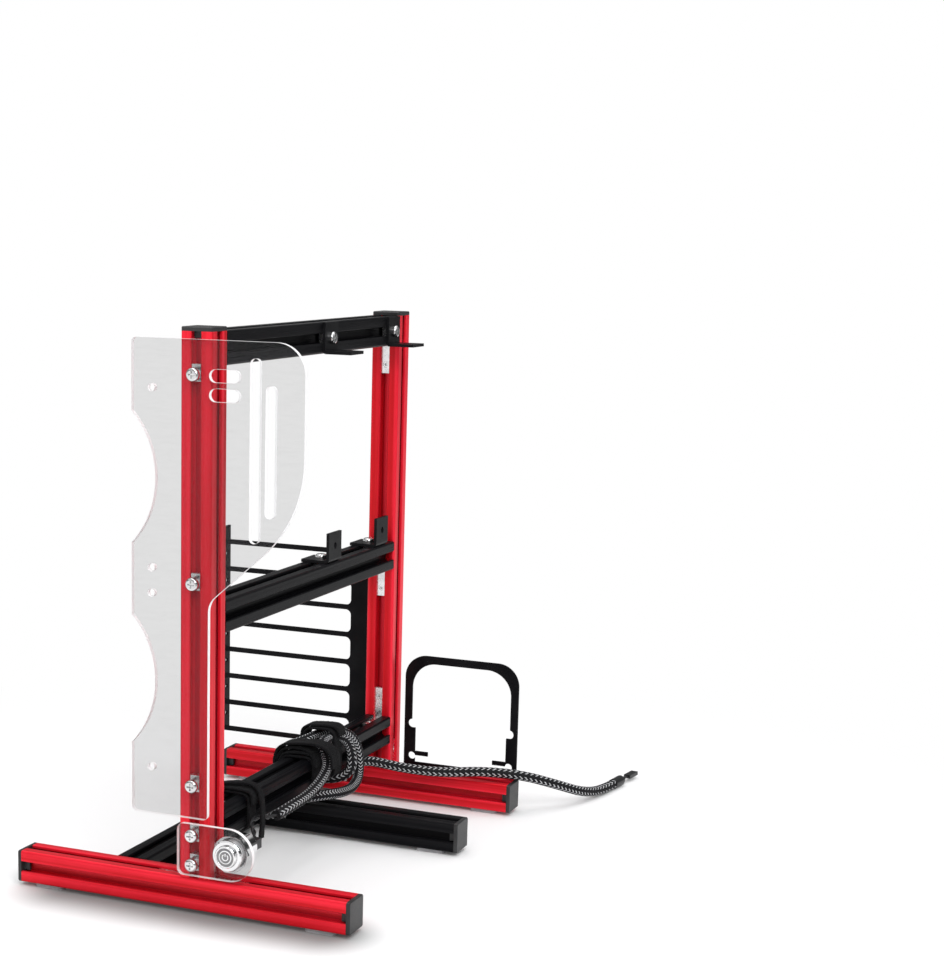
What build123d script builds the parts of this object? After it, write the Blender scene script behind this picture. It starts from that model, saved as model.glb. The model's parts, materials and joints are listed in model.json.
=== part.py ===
"""Open air test bench: a bare frame of T-slot profile that carries a computer board upright.

X runs along the crossbars, from the near side with the fan plate to the far side with the slot
ladder. Y points to the rear, where the board hangs. Z is up, and the floor is z = 0.
"""

import os
from math import pi, radians, tan

from build123d import *

# Aluminium profile with one slot in each face
profile = 20.0
profile_corner = 1.5
profile_bore = 4.2
slot_mouth = 6.2
slot_chamfer = 0.4
slot_lip = 1.8
slot_cavity = 11.0
slot_shoulder = 1.3
slot_depth = 6.1
slot_floor = 5.9

# Frame
crossbar_length = 260.0
foot_length = 220.0
upright_inset = 89.0
bottom_row = 49.5
lower_rows = 127.0
upper_rows = 157.48
floor_bar_inset = 57.0
mid_foot_inset = 176.0

# End caps and pads
cap_thickness = 2.5
cap_edge = 0.5
cap_fit = 0.2
cap_tongue = 4.0
cap_tongue_depth = 2.0
cap_tongue_recess = 3.4
pad_thickness = 2.5
pad_length = 20.0
pad_width = 15.0
pad_corner = 3.0
pad_inset = 8.0

# Slot brackets with grub screws
bracket_leg = 20.0
bracket_width = 5.8
bracket_depth = 4.6
bracket_wing = 10.0
bracket_wing_thickness = 1.2
grub_diameter = 4.0
grub_fit = 0.05
grub_inset = 6.0
grub_recess = 2.2
grub_socket = 2.0
grub_socket_depth = 1.6

# Screws and slot nuts
screw_diameter = 4.0
screw_fit = 0.05
screw_head = 8.0
screw_head_height = 2.8
screw_head_dome = 1.6
screw_depth = 5.6
screw_cross = 4.4
screw_cross_width = 1.0
screw_cross_depth = 1.4
screw_hole = 4.5
nut_length = 10.0
nut_offset = 0.8
nut_neck = 5.8
nut_recess = 0.4
nut_width = 10.4
nut_side = 1.2
nut_thickness = 3.0
nut_foot = 5.6

# Fan plate
plate_thickness = 3.0
fan_plate_height = 282.0
fan_plate_gap = 37.7
fan_line = 27.5
fan_margin = 13.0
fan_pitch = 105.0
fan_spacing = 15.0
fan_hole = 4.5
fan_cutout = 55.2
fan_plate_front = 70.0
fan_plate_top_corner = 18.0
fan_plate_corner = 3.0
wing_top = 42.3
wing_root = -10.4
wing_top_radius = 75.0
wing_root_radius = 12.0
fan_screw_inset = 20.0
long_slot = 105.0
short_slot = 75.0
plate_slot_width = 6.0
plate_slot_height = 79.0
long_slot_place = 38.9
short_slot_place = 48.7
strap_slot = 19.0
strap_slot_width = 7.5
strap_slot_place = 19.5
strap_slot_height = 115.2
strap_slot_pitch = 11.0

# Switch plate and push button
switch_plate_radius = 16.0
switch_plate_gap = 2.3
switch_plate_corner = 4.0
switch_place = 24.0
switch_screw_pitch = 18.0
button_body = 16.0
button_fit = 0.1
button_bezel = 19.0
button_bezel_height = 2.0
button_bezel_chamfer = 0.6
button_depth = 20.0
cap_diameter = 13.6
cap_running_fit = 0.08
cap_height = 2.0
cap_inside = 4.0
cap_chamfer = 0.5
cap_travel = 1.5
cap_floor_clearance = 0.5
button_washer = 22.0
button_washer_thickness = 0.8
button_nut = 19.0
button_nut_thickness = 3.0
terminal_width = 2.8
terminal_thickness = 0.6
terminal_length = 7.0
terminal_pitch = 7.0

# Steel L-brackets on the crossbars
angle_leg = 20.0
angle_width = 20.0
angle_thickness = 2.0
angle_bend = 2.6
top_angle_inset = 13.0
top_angle_pitch = 105.0
middle_angle_inset = 22.5
middle_angle_pitch = 80.0

# Expansion slot ladder
sheet = 1.5
slot_pitch = 20.32
slot_count = 7
ladder_bar = 3.5
ladder_top = 174.5
ladder_flange = 12.0
ladder_member = 39.5
ladder_rise = 9.0
ladder_opening = 104.0
ladder_corner = 4.0
ladder_edge_clearance = 1.5
card_hole = 3.6
ladder_screw_inset = 12.0

# Power supply bracket
supply_width = 86.0
supply_height = 82.0
supply_skirt = 17.0
supply_corner = 16.0
supply_band = 5.5
supply_window_corner = 18.0
supply_side = 8.3
supply_sill = 3.0
supply_hole = 5.5
supply_hole_pitch = 74.0
supply_hole_height = 7.5
supply_notch_height = 24.0
supply_notch = 6.4
supply_tab = 10.0
supply_tab_height = 3.0
supply_tab_place = 9.5
supply_screw_pitch = 56.0

# Board standoffs on the rear. The near column stands 227.33 mm from the one on the far upright
near_column_margin = 32.67
middle_column = 124.46
standoff_flats = 5.5
standoff_length = 6.5
standoff_hole = 2.5
standoff_stud = 3.0
standoff_nut_shift = 3.6

# Hook-and-loop ties
tie_thickness = 1.8
tie_clearance = 0.3
tie_round = 5.0
near_tie_place = 50.0
near_tie_width = 16.0
near_tie_front_room = 9.5
near_tie_top_room = 8.0
near_tie_tail = 6.0
middle_tie_place = 140.0
middle_tie_width = 18.0
middle_tie_top_room = 3.0
far_tie_place = 176.0
far_tie_width = 13.0
far_tie_top_room = 10.5

# Lead with a braided sleeve, and its plugs
lead_diameter = 7.0
wire_bundle = 3.0
connector_length = 10.0
connector_width = 12.0
connector_thickness = 6.0
shrink_diameter = 7.6
shrink_length = 14.0
tail_length = 12.0
plug_length = 14.0
plug_width = 5.2
plug_thickness = 2.7

# Places that follow from the sizes above
near_reach = plate_thickness + button_bezel_height + cap_height
frame_width = crossbar_length + 2 * profile
near_face = near_reach - (near_reach + frame_width + ladder_flange) / 2
far_face = near_face + frame_width
foot_span = foot_length + 2 * cap_thickness
ladder_reach = ladder_edge_clearance + ladder_member + ladder_opening + sheet
feet_front = -max(foot_span, cap_thickness + upright_inset + ladder_reach) / 2
feet_rear = feet_front + foot_span
foot_bottom = pad_thickness
foot_top = foot_bottom + profile
upright_front = feet_front + cap_thickness + upright_inset
upright_middle = upright_front + profile / 2
upright_rear = upright_front + profile
bottom_bar_height = foot_bottom + bottom_row
middle_bar_height = bottom_bar_height + lower_rows
top_bar_height = middle_bar_height + upper_rows
upright_length = top_bar_height + profile / 2 - foot_top
floor_bar_rear = feet_rear - cap_thickness - floor_bar_inset
floor_bar_front = floor_bar_rear - profile
mid_foot_side = near_face + mid_foot_inset
mid_foot_length = floor_bar_front - feet_front - cap_thickness
inner_near = near_face + profile
inner_far = far_face - profile
near_middle = near_face + profile / 2
far_middle = far_face - profile / 2
foot_middle = foot_bottom + profile / 2

BACK = (-1, 0, 0)
AHEAD = (1, 0, 0)
FRONT = (0, -1, 0)
REAR = (0, 1, 0)
UP = (0, 0, 1)
DOWN = (0, 0, -1)

os.makedirs("parts", exist_ok=True)


def keep(piece, name):
    """Label a finished piece and write it to its own file."""
    piece.label = name
    export_step(piece, f"parts/{name}.step")


def gather(pieces):
    """Hold like pieces together as separate solids of one node."""
    with BuildPart() as held:
        for piece in pieces:
            add(piece)
    return held.part


# Profile section
with BuildSketch() as slot_section:
    with BuildLine():
        Polyline(
            (-slot_mouth / 2 - slot_chamfer, profile / 2 + slot_chamfer),
            (-slot_mouth / 2 - slot_chamfer, profile / 2),
            (-slot_mouth / 2, profile / 2 - slot_chamfer),
            (-slot_mouth / 2, profile / 2 - slot_lip),
            (-slot_cavity / 2, profile / 2 - slot_lip),
            (-slot_cavity / 2, profile / 2 - slot_lip - slot_shoulder),
            (-slot_floor / 2, profile / 2 - slot_depth),
            (slot_floor / 2, profile / 2 - slot_depth),
            (slot_cavity / 2, profile / 2 - slot_lip - slot_shoulder),
            (slot_cavity / 2, profile / 2 - slot_lip),
            (slot_mouth / 2, profile / 2 - slot_lip),
            (slot_mouth / 2, profile / 2 - slot_chamfer),
            (slot_mouth / 2 + slot_chamfer, profile / 2),
            (slot_mouth / 2 + slot_chamfer, profile / 2 + slot_chamfer),
            close=True,
        )
    make_face()

with BuildSketch() as profile_section:
    RectangleRounded(profile, profile, profile_corner)
    with PolarLocations(0, 4):
        add(slot_section.sketch, mode=Mode.SUBTRACT)
    Circle(profile_bore / 2, mode=Mode.SUBTRACT)


def bar(start, direction, length):
    """A length of profile from the middle of its first end."""
    side = UP if direction != UP else AHEAD
    with BuildPart() as cut:
        with BuildSketch(Plane(origin=start, x_dir=side, z_dir=direction)):
            add(profile_section.sketch)
        extrude(amount=length)
    return cut.part


profile_end = feet_front + cap_thickness
crossbar_heights = {
    "top_crossbar": top_bar_height,
    "middle_crossbar": middle_bar_height,
    "bottom_crossbar": bottom_bar_height,
}
floor_bar_middle = floor_bar_front + profile / 2
mid_foot_middle = mid_foot_side + profile / 2
keep(bar((near_middle, profile_end, foot_middle), REAR, foot_length), "near_foot")
keep(bar((far_middle, profile_end, foot_middle), REAR, foot_length), "far_foot")
keep(bar((mid_foot_middle, profile_end, foot_middle), REAR, mid_foot_length), "mid_foot")
keep(bar((near_middle, upright_middle, foot_top), UP, upright_length), "near_upright")
keep(bar((far_middle, upright_middle, foot_top), UP, upright_length), "far_upright")
keep(bar((inner_near, floor_bar_middle, foot_middle), AHEAD, crossbar_length), "floor_crossbar")
for bar_name, bar_height in crossbar_heights.items():
    keep(bar((inner_near, upright_middle, bar_height), AHEAD, crossbar_length), bar_name)


def end_cap(end, outward):
    """A plastic cap on a profile's end, with a tongue in each slot and a stub in the bore."""
    side = UP if outward != UP else AHEAD
    face = Plane(origin=end, x_dir=side, z_dir=outward)
    with BuildPart() as cap:
        with BuildSketch(face):
            RectangleRounded(profile, profile, profile_corner)
        extrude(amount=cap_thickness)
        chamfer(cap.faces().sort_by(Axis(end, outward))[-1].edges(), length=cap_edge)
        with BuildSketch(face):
            tongue_middle = profile / 2 - cap_tongue_recess - cap_tongue_depth / 2
            with PolarLocations(tongue_middle, 4):
                Rectangle(cap_tongue_depth, slot_mouth - 2 * cap_fit)
            Circle(profile_bore / 2 - cap_fit)
        extrude(amount=-cap_tongue)
    return cap.part


foot_ends = {"near_foot": near_middle, "far_foot": far_middle, "mid_foot": mid_foot_middle}
for foot_name, foot_x in foot_ends.items():
    keep(end_cap((foot_x, profile_end, foot_middle), FRONT), f"{foot_name}_front_cap")
for foot_name in ("near_foot", "far_foot"):
    rear_end = (foot_ends[foot_name], profile_end + foot_length, foot_middle)
    keep(end_cap(rear_end, REAR), f"{foot_name}_rear_cap")
upright_end = foot_top + upright_length
keep(end_cap((near_middle, upright_middle, upright_end), UP), "near_upright_cap")
keep(end_cap((far_middle, upright_middle, upright_end), UP), "far_upright_cap")

# Rubber pads under the ends of the feet
front_pad = profile_end + pad_inset + pad_length / 2
rear_pad = profile_end + foot_length - pad_inset - pad_length / 2
with BuildPart() as foot_pads:
    with BuildSketch(Plane.XY.offset(foot_bottom)):
        with Locations(
            (near_middle, front_pad),
            (near_middle, rear_pad),
            (far_middle, front_pad),
            (far_middle, rear_pad),
            (mid_foot_middle, front_pad),
        ):
            RectangleRounded(pad_width, pad_length, pad_corner)
    extrude(amount=-pad_thickness)
keep(foot_pads.part, "foot_pads")


def slot_bracket(corner):
    """An L-bracket under the lips of two slots: along local x in the bar that runs on, and along
    local y in the bar that butts on it."""
    inner = -bracket_depth
    with BuildPart() as bracket:
        with BuildSketch(corner):
            with BuildLine():
                Polyline(
                    (inner, inner),
                    (bracket_leg, inner),
                    (bracket_leg, -slot_lip),
                    (-slot_lip, -slot_lip),
                    (-slot_lip, bracket_leg),
                    (inner, bracket_leg),
                    close=True,
                )
            make_face()
        extrude(amount=bracket_width / 2, both=True)
        with BuildSketch(corner):
            with Locations(((bracket_leg + inner) / 2, -slot_lip)):
                Rectangle(
                    bracket_leg - inner,
                    bracket_wing_thickness,
                    align=(Align.CENTER, Align.MAX),
                )
            with Locations((-slot_lip, grub_fit)):
                Rectangle(
                    bracket_wing_thickness,
                    bracket_leg - grub_fit,
                    align=(Align.MAX, Align.MIN),
                )
        extrude(amount=bracket_wing / 2, both=True)
        for seat in grub_seats(corner):
            with BuildSketch(seat):
                Circle(grub_diameter / 2 + grub_fit)
            extrude(amount=-bracket_depth - grub_fit, mode=Mode.SUBTRACT)
    return bracket.part


def grub_seats(corner):
    """The planes of a slot bracket's two screws, each on the face of its own bar."""
    reach = bracket_leg - grub_inset
    along = corner.from_local_coords((reach, 0, 0))
    across = corner.from_local_coords((0, reach, 0))
    return (
        Plane(origin=along, x_dir=corner.x_dir, z_dir=corner.y_dir),
        Plane(origin=across, x_dir=corner.y_dir, z_dir=corner.x_dir),
    )


def grub_screw(seat):
    """A headless screw that bears on the slot's floor, with a hexagon socket."""
    with BuildPart() as screw:
        with BuildSketch(seat.offset(-grub_recess)):
            Circle(grub_diameter / 2)
        extrude(amount=grub_recess - slot_depth)
        with BuildSketch(seat.offset(-grub_recess)):
            RegularPolygon(grub_socket / 2, 6, major_radius=False)
        extrude(amount=-grub_socket_depth, mode=Mode.SUBTRACT)
    return screw.part


def corner_plane(origin, along, butted):
    """The plane of a slot bracket, from the direction of each of its legs."""
    return Plane(origin=origin, x_dir=along, z_dir=Vector(along).cross(Vector(butted)))


upright_corners = []
for upright_x in (near_middle, far_middle):
    upright_corners.append(corner_plane((upright_x, upright_front, foot_top), FRONT, UP))
    upright_corners.append(corner_plane((upright_x, upright_rear, foot_top), REAR, UP))

crossbar_corners = []
for face_x, inward in ((inner_near, AHEAD), (inner_far, BACK)):
    for bar_height in (top_bar_height, middle_bar_height):
        under = (face_x, upright_middle, bar_height - profile / 2)
        crossbar_corners.append(corner_plane(under, DOWN, inward))
    over = (face_x, upright_middle, bottom_bar_height + profile / 2)
    crossbar_corners.append(corner_plane(over, UP, inward))

floor_corners = [
    corner_plane((inner_near, floor_bar_front, foot_middle), FRONT, AHEAD),
    corner_plane((inner_far, floor_bar_front, foot_middle), FRONT, BACK),
    corner_plane((mid_foot_side, floor_bar_front, foot_middle), BACK, FRONT),
    corner_plane((mid_foot_side + profile, floor_bar_front, foot_middle), AHEAD, FRONT),
]
keep(gather([slot_bracket(corner) for corner in upright_corners]), "upright_slot_brackets")
keep(gather([slot_bracket(corner) for corner in crossbar_corners]), "crossbar_slot_brackets")
keep(gather([slot_bracket(corner) for corner in floor_corners]), "floor_slot_brackets")
all_corners = upright_corners + crossbar_corners + floor_corners
all_grub_seats = [seat for corner in all_corners for seat in grub_seats(corner)]
keep(gather([grub_screw(seat) for seat in all_grub_seats]), "slot_bracket_grub_screws")


def pan_screw(seat, grip):
    """A pan-head cross screw through a sheet of thickness grip, from the profile's face."""
    face = seat.offset(grip)
    with BuildPart() as screw:
        with BuildSketch(face):
            Circle(screw_head / 2)
        extrude(amount=screw_head_height)
        crown = screw.faces().sort_by(Axis(face.origin, face.z_dir))[-1]
        fillet(crown.edges(), radius=screw_head_dome)
        with BuildSketch(face.offset(screw_head_height)):
            Rectangle(screw_cross, screw_cross_width)
            Rectangle(screw_cross_width, screw_cross)
        extrude(amount=-screw_cross_depth, mode=Mode.SUBTRACT)
        with BuildSketch(face):
            Circle(screw_diameter / 2)
        extrude(amount=-grip - screw_depth)
    return screw.part


def slot_nut(seat, shift, hole=screw_diameter):
    """A nut held under the slot's lips, with its neck in the mouth. Local x is the slot."""
    start = seat.from_local_coords((shift - nut_length / 2, 0, 0))
    with BuildPart() as nut:
        with BuildSketch(Plane(origin=start, x_dir=seat.y_dir, z_dir=seat.x_dir)):
            with BuildLine():
                Polyline(
                    (-nut_neck / 2, -nut_recess),
                    (-nut_neck / 2, -slot_lip),
                    (-nut_width / 2, -slot_lip),
                    (-nut_width / 2, -slot_lip - nut_side),
                    (-nut_foot / 2, -slot_lip - nut_thickness),
                    (nut_foot / 2, -slot_lip - nut_thickness),
                    (nut_width / 2, -slot_lip - nut_side),
                    (nut_width / 2, -slot_lip),
                    (nut_neck / 2, -slot_lip),
                    (nut_neck / 2, -nut_recess),
                    close=True,
                )
            make_face()
        extrude(amount=nut_length)
        with BuildSketch(seat):
            Circle(hole / 2 + screw_fit)
        extrude(amount=-slot_depth, mode=Mode.SUBTRACT)
    return nut.part


def keep_fasteners(name, seats, grip, shift=0.0):
    """Write the screws and the slot nuts that hold one sheet."""
    keep(gather([pan_screw(seat, grip) for seat in seats]), f"{name}_screws")
    keep(gather([slot_nut(seat, shift) for seat in seats]), f"{name}_nuts")


def outer_face(height, place=0.0):
    """A plane on the near upright's outer face: local x runs to the front, local y up."""
    return Plane(origin=(near_face, upright_middle - place, height), x_dir=FRONT, z_dir=BACK)


def upright_seat(height):
    """A screw's seat in the near upright's outer slot, with local x up the slot."""
    return Plane(origin=(near_face, upright_middle, height), x_dir=UP, z_dir=BACK)


# Clear fan plate on the near upright, with its top screw clear of the upright's cap
fan_plate_bottom = foot_top + fan_plate_gap
fan_plate_middle = fan_plate_bottom + fan_plate_height / 2
fan_low_screw = fan_plate_bottom + fan_screw_inset
fan_top_screw = min(
    fan_plate_bottom + fan_plate_height - fan_screw_inset,
    upright_end - cap_tongue - nut_length,
)
fan_screw_heights = (fan_low_screw, (fan_low_screw + fan_top_screw) / 2, fan_top_screw)
fan_half = fan_plate_height / 2
fan_centre = (fan_spacing + fan_pitch) / 2
fan_edge = fan_line + fan_margin
with BuildPart() as fan_plate:
    with BuildSketch(outer_face(fan_plate_middle)) as fan_outline:
        with BuildLine():
            Polyline(
                (-fan_edge, -fan_half),
                (-fan_edge, fan_half),
                (fan_plate_front, fan_half),
                (fan_plate_front, wing_top),
                (profile / 2, wing_root),
                (profile / 2, -fan_half),
                close=True,
            )
        make_face()
        for corner_point, corner_radius in (
            ((-fan_edge, -fan_half), fan_plate_corner),
            ((-fan_edge, fan_half), fan_plate_corner),
            ((profile / 2, -fan_half), fan_plate_corner),
            ((fan_plate_front, fan_half), fan_plate_top_corner),
            ((fan_plate_front, wing_top), wing_top_radius),
            ((profile / 2, wing_root), wing_root_radius),
        ):
            nearest = fan_outline.vertices().sort_by_distance(corner_point)[0]
            fillet(nearest, radius=corner_radius)
        with Locations(
            (-fan_line - fan_pitch / 2, fan_centre),
            (-fan_line - fan_pitch / 2, -fan_centre),
        ):
            Circle(fan_cutout, mode=Mode.SUBTRACT)
        with Locations(
            (-fan_line, fan_spacing / 2),
            (-fan_line, -fan_spacing / 2),
            (-fan_line, fan_spacing / 2 + fan_pitch),
            (-fan_line, -fan_spacing / 2 - fan_pitch),
        ):
            Circle(fan_hole / 2, mode=Mode.SUBTRACT)
        with Locations(*[(0, height - fan_plate_middle) for height in fan_screw_heights]):
            Circle(screw_hole / 2, mode=Mode.SUBTRACT)
        with Locations((long_slot_place, plate_slot_height)):
            SlotOverall(long_slot, plate_slot_width, rotation=90, mode=Mode.SUBTRACT)
        with Locations((short_slot_place, plate_slot_height)):
            SlotOverall(short_slot, plate_slot_width, rotation=90, mode=Mode.SUBTRACT)
        with Locations((strap_slot_place, strap_slot_height)):
            with GridLocations(0, strap_slot_pitch, 1, 2):
                SlotOverall(strap_slot, strap_slot_width, mode=Mode.SUBTRACT)
    extrude(amount=plate_thickness)
keep(fan_plate.part, "fan_plate")
fan_seats = [upright_seat(height) for height in fan_screw_heights]
keep_fasteners("fan_plate", fan_seats, plate_thickness, nut_offset)

# Clear switch plate below it
switch_height = foot_top + switch_plate_gap + switch_plate_radius
with BuildPart() as switch_plate:
    with BuildSketch(outer_face(switch_height)) as switch_outline:
        with BuildLine():
            Polyline(
                (switch_place, switch_plate_radius),
                (-profile / 2, switch_plate_radius),
                (-profile / 2, -switch_plate_radius),
                (switch_place, -switch_plate_radius),
            )
            ThreePointArc(
                (switch_place, -switch_plate_radius),
                (switch_place + switch_plate_radius, 0),
                (switch_place, switch_plate_radius),
            )
        make_face()
        fillet(switch_outline.vertices().group_by(Axis.X)[0], radius=switch_plate_corner)
        with Locations((switch_place, 0)):
            Circle(button_body / 2 + button_fit, mode=Mode.SUBTRACT)
        with GridLocations(0, switch_screw_pitch, 1, 2):
            Circle(screw_hole / 2, mode=Mode.SUBTRACT)
    extrude(amount=plate_thickness)
keep(switch_plate.part, "switch_plate")
switch_screw_heights = [switch_height + turn * switch_screw_pitch / 2 for turn in (-1, 1)]
switch_seats = [upright_seat(height) for height in switch_screw_heights]
keep_fasteners("switch_plate", switch_seats, plate_thickness, nut_offset)

# Push button: housing with its bezel, moving cap, washer, nut and terminals
button_face = outer_face(switch_height, switch_place)
bezel_face = button_face.offset(plate_thickness)
bezel_front = bezel_face.offset(button_bezel_height)
cap_bore = cap_inside + cap_travel + cap_floor_clearance
with BuildPart() as button_housing:
    with BuildSketch(bezel_face):
        Circle(button_bezel / 2)
    extrude(amount=button_bezel_height)
    bezel_axis = Axis(bezel_face.origin, bezel_face.z_dir)
    rim = button_housing.faces().sort_by(bezel_axis)[-1]
    chamfer(rim.edges(), length=button_bezel_chamfer)
    with BuildSketch(bezel_face):
        Circle(button_body / 2)
    extrude(amount=-plate_thickness - button_depth)
    with BuildSketch(bezel_front):
        Circle(cap_diameter / 2 + cap_running_fit)
    extrude(amount=-cap_bore, mode=Mode.SUBTRACT)
keep(button_housing.part, "button_housing")

with BuildPart() as button_cap:
    with BuildSketch(bezel_front.offset(cap_height)):
        Circle(cap_diameter / 2)
    extrude(amount=-cap_height - cap_inside)
    cap_front = button_cap.faces().sort_by(bezel_axis)[-1]
    chamfer(cap_front.edges(), length=cap_chamfer)
keep(button_cap.part, "button_cap")

with BuildPart() as washer:
    with BuildSketch(button_face):
        Circle(button_washer / 2)
        Circle(button_body / 2 + button_fit, mode=Mode.SUBTRACT)
    extrude(amount=-button_washer_thickness)
keep(washer.part, "button_washer")

with BuildPart() as button_hex_nut:
    with BuildSketch(button_face.offset(-button_washer_thickness)):
        RegularPolygon(button_nut / 2, 6, major_radius=False)
        Circle(button_body / 2 + screw_fit, mode=Mode.SUBTRACT)
    extrude(amount=-button_nut_thickness)
keep(button_hex_nut.part, "button_nut")

button_back = button_face.offset(-button_depth)
with BuildPart() as terminals:
    with BuildSketch(button_back):
        with GridLocations(terminal_pitch, 0, 2, 1):
            Rectangle(terminal_thickness, terminal_width)
    extrude(amount=-terminal_length)
keep(terminals.part, "button_terminals")


def angle_bracket(seat):
    """A folded steel bracket: one leg on the bar's face, one that stands out at its lower edge.
    Local x runs along the bar, and z out of its face."""
    edge = -angle_leg / 2
    side = Plane(origin=seat.origin, x_dir=seat.y_dir, z_dir=seat.x_dir)
    with BuildPart() as bracket:
        with BuildSketch(side):
            with BuildLine():
                Polyline(
                    (edge, 0),
                    (-edge, 0),
                    (-edge, angle_thickness),
                    (edge + angle_thickness, angle_thickness),
                    (edge + angle_thickness, angle_leg),
                    (edge, angle_leg),
                    close=True,
                )
            make_face()
        extrude(amount=angle_width / 2, both=True)
        bend = bracket.edges().filter_by(Axis((0, 0, 0), seat.x_dir))
        outside = bend.sort_by_distance(side.from_local_coords((edge, 0, 0)))[0]
        fillet(outside, radius=angle_bend)
        bend = bracket.edges().filter_by(Axis((0, 0, 0), seat.x_dir))
        fold = (edge + angle_thickness, angle_thickness, 0)
        inside = bend.sort_by_distance(side.from_local_coords(fold))[0]
        fillet(inside, radius=angle_bend - angle_thickness)
        with BuildSketch(seat):
            Circle(screw_hole / 2)
        extrude(amount=angle_thickness, mode=Mode.SUBTRACT)
        free_leg = seat.from_local_coords((0, edge, (angle_leg + angle_thickness) / 2))
        with BuildSketch(Plane(origin=free_leg, x_dir=seat.x_dir, z_dir=seat.y_dir)):
            Circle(screw_hole / 2)
        extrude(amount=angle_thickness, mode=Mode.SUBTRACT)
    return bracket.part


top_angle_x = inner_far - top_angle_inset
middle_angle_x = inner_far - middle_angle_inset
middle_bar_top = middle_bar_height + profile / 2
angle_seats = {
    "top_bracket_near": Plane(
        origin=(top_angle_x - top_angle_pitch, upright_front, top_bar_height),
        x_dir=AHEAD,
        z_dir=FRONT,
    ),
    "top_bracket_far": Plane(
        origin=(top_angle_x, upright_front, top_bar_height), x_dir=AHEAD, z_dir=FRONT
    ),
    "middle_bracket_near": Plane(
        origin=(middle_angle_x - middle_angle_pitch, upright_middle, middle_bar_top),
        x_dir=AHEAD,
        z_dir=UP,
    ),
    "middle_bracket_far": Plane(
        origin=(middle_angle_x, upright_middle, middle_bar_top), x_dir=AHEAD, z_dir=UP
    ),
}
for bracket_name, seat in angle_seats.items():
    keep(angle_bracket(seat), bracket_name)
keep_fasteners("bracket", list(angle_seats.values()), angle_thickness)

# Expansion slot ladder: a sheet on the far upright with a flange for the cards' screws
ladder_front = upright_front + ladder_edge_clearance
ladder_rear = upright_front + ladder_reach
opening_rear = ladder_rear - sheet
opening_front = opening_rear - ladder_opening
ladder_upper = foot_bottom + ladder_top
ladder_lower = ladder_upper - slot_count * slot_pitch - ladder_bar
opening_height = slot_pitch - ladder_bar
opening_middle = (ladder_upper + ladder_lower) / 2
with BuildPart() as slot_ladder:
    with BuildSketch(Plane(origin=(far_face, 0, 0), x_dir=REAR, z_dir=AHEAD)):
        with Locations(((ladder_rear + ladder_front) / 2, opening_middle)):
            Rectangle(ladder_rear - ladder_front, ladder_upper - ladder_lower)
        with Locations(((opening_rear + opening_front) / 2, opening_middle)):
            with GridLocations(0, slot_pitch, 1, slot_count):
                RectangleRounded(
                    ladder_opening, opening_height, ladder_corner, mode=Mode.SUBTRACT
                )
    extrude(amount=sheet)
    with BuildSketch(Plane(origin=(far_face, ladder_rear, 0), x_dir=AHEAD, z_dir=FRONT)):
        with Locations((0, ladder_lower)):
            Rectangle(
                ladder_flange,
                ladder_upper + ladder_rise - ladder_lower,
                align=(Align.MIN, Align.MIN),
            )
        with Locations(((ladder_flange + sheet) / 2, opening_middle)):
            with GridLocations(0, slot_pitch, 1, slot_count):
                Circle(card_hole / 2, mode=Mode.SUBTRACT)
    extrude(amount=sheet)
    for ladder_screw in (ladder_lower + ladder_screw_inset, ladder_upper - ladder_screw_inset):
        with BuildSketch(Plane(origin=(far_face, upright_middle, ladder_screw), z_dir=AHEAD)):
            Circle(screw_hole / 2)
        extrude(amount=sheet, mode=Mode.SUBTRACT)
keep(slot_ladder.part, "slot_ladder")
ladder_seats = [
    Plane(origin=(far_face, upright_middle, height), x_dir=UP, z_dir=AHEAD)
    for height in (ladder_lower + ladder_screw_inset, ladder_upper - ladder_screw_inset)
]
keep_fasteners("slot_ladder", ladder_seats, sheet)

# Power supply bracket on the far foot
supply_middle = profile_end + supply_width / 2
supply_hole_z = foot_top + supply_hole_height
supply_plane = Plane(origin=(far_face, supply_middle, foot_top), x_dir=REAR, z_dir=AHEAD)
inner_width = supply_width - 2 * supply_side
with BuildPart() as supply_bracket:
    with BuildSketch(supply_plane) as supply_outline:
        with Locations((0, (supply_height - supply_skirt) / 2)):
            Rectangle(supply_width, supply_height + supply_skirt)
        fillet(supply_outline.vertices().group_by(Axis.Y)[-1], radius=supply_corner)
    extrude(amount=sheet)
    with BuildSketch(supply_plane) as window_outline:
        window_top = supply_height - supply_band
        notch_height = supply_hole_height + supply_notch_height
        with Locations((0, window_top)):
            Rectangle(
                supply_width - 2 * supply_band,
                window_top - notch_height,
                align=(Align.CENTER, Align.MAX),
            )
        fillet(
            window_outline.vertices().group_by(Axis.Y)[-1], radius=supply_window_corner
        )
        with Locations((0, supply_sill)):
            Rectangle(
                inner_width,
                notch_height - supply_sill,
                align=(Align.CENTER, Align.MIN),
            )
        with Locations((0, notch_height)):
            SlotOverall(supply_hole_pitch + supply_notch, supply_notch)
        for side in (-1, 1):
            tab_tip = side * (inner_width / 2 - supply_tab / 2)
            with Locations((tab_tip, supply_tab_place)):
                Rectangle(supply_tab, supply_tab_height, mode=Mode.SUBTRACT)
    extrude(amount=sheet, mode=Mode.SUBTRACT)
    with BuildSketch(supply_plane):
        with Locations((0, supply_hole_height)):
            with GridLocations(supply_hole_pitch, 0, 2, 1):
                Circle(supply_hole / 2)
        with Locations((0, -profile / 2)):
            with GridLocations(supply_screw_pitch, 0, 2, 1):
                Circle(screw_hole / 2)
    extrude(amount=sheet, mode=Mode.SUBTRACT)
keep(supply_bracket.part, "supply_bracket")
supply_seats = [
    Plane(origin=(far_face, supply_middle + side * supply_screw_pitch / 2, foot_middle),
          x_dir=REAR, z_dir=AHEAD)
    for side in (-1, 1)
]
keep_fasteners("supply_bracket", supply_seats, sheet)

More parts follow.
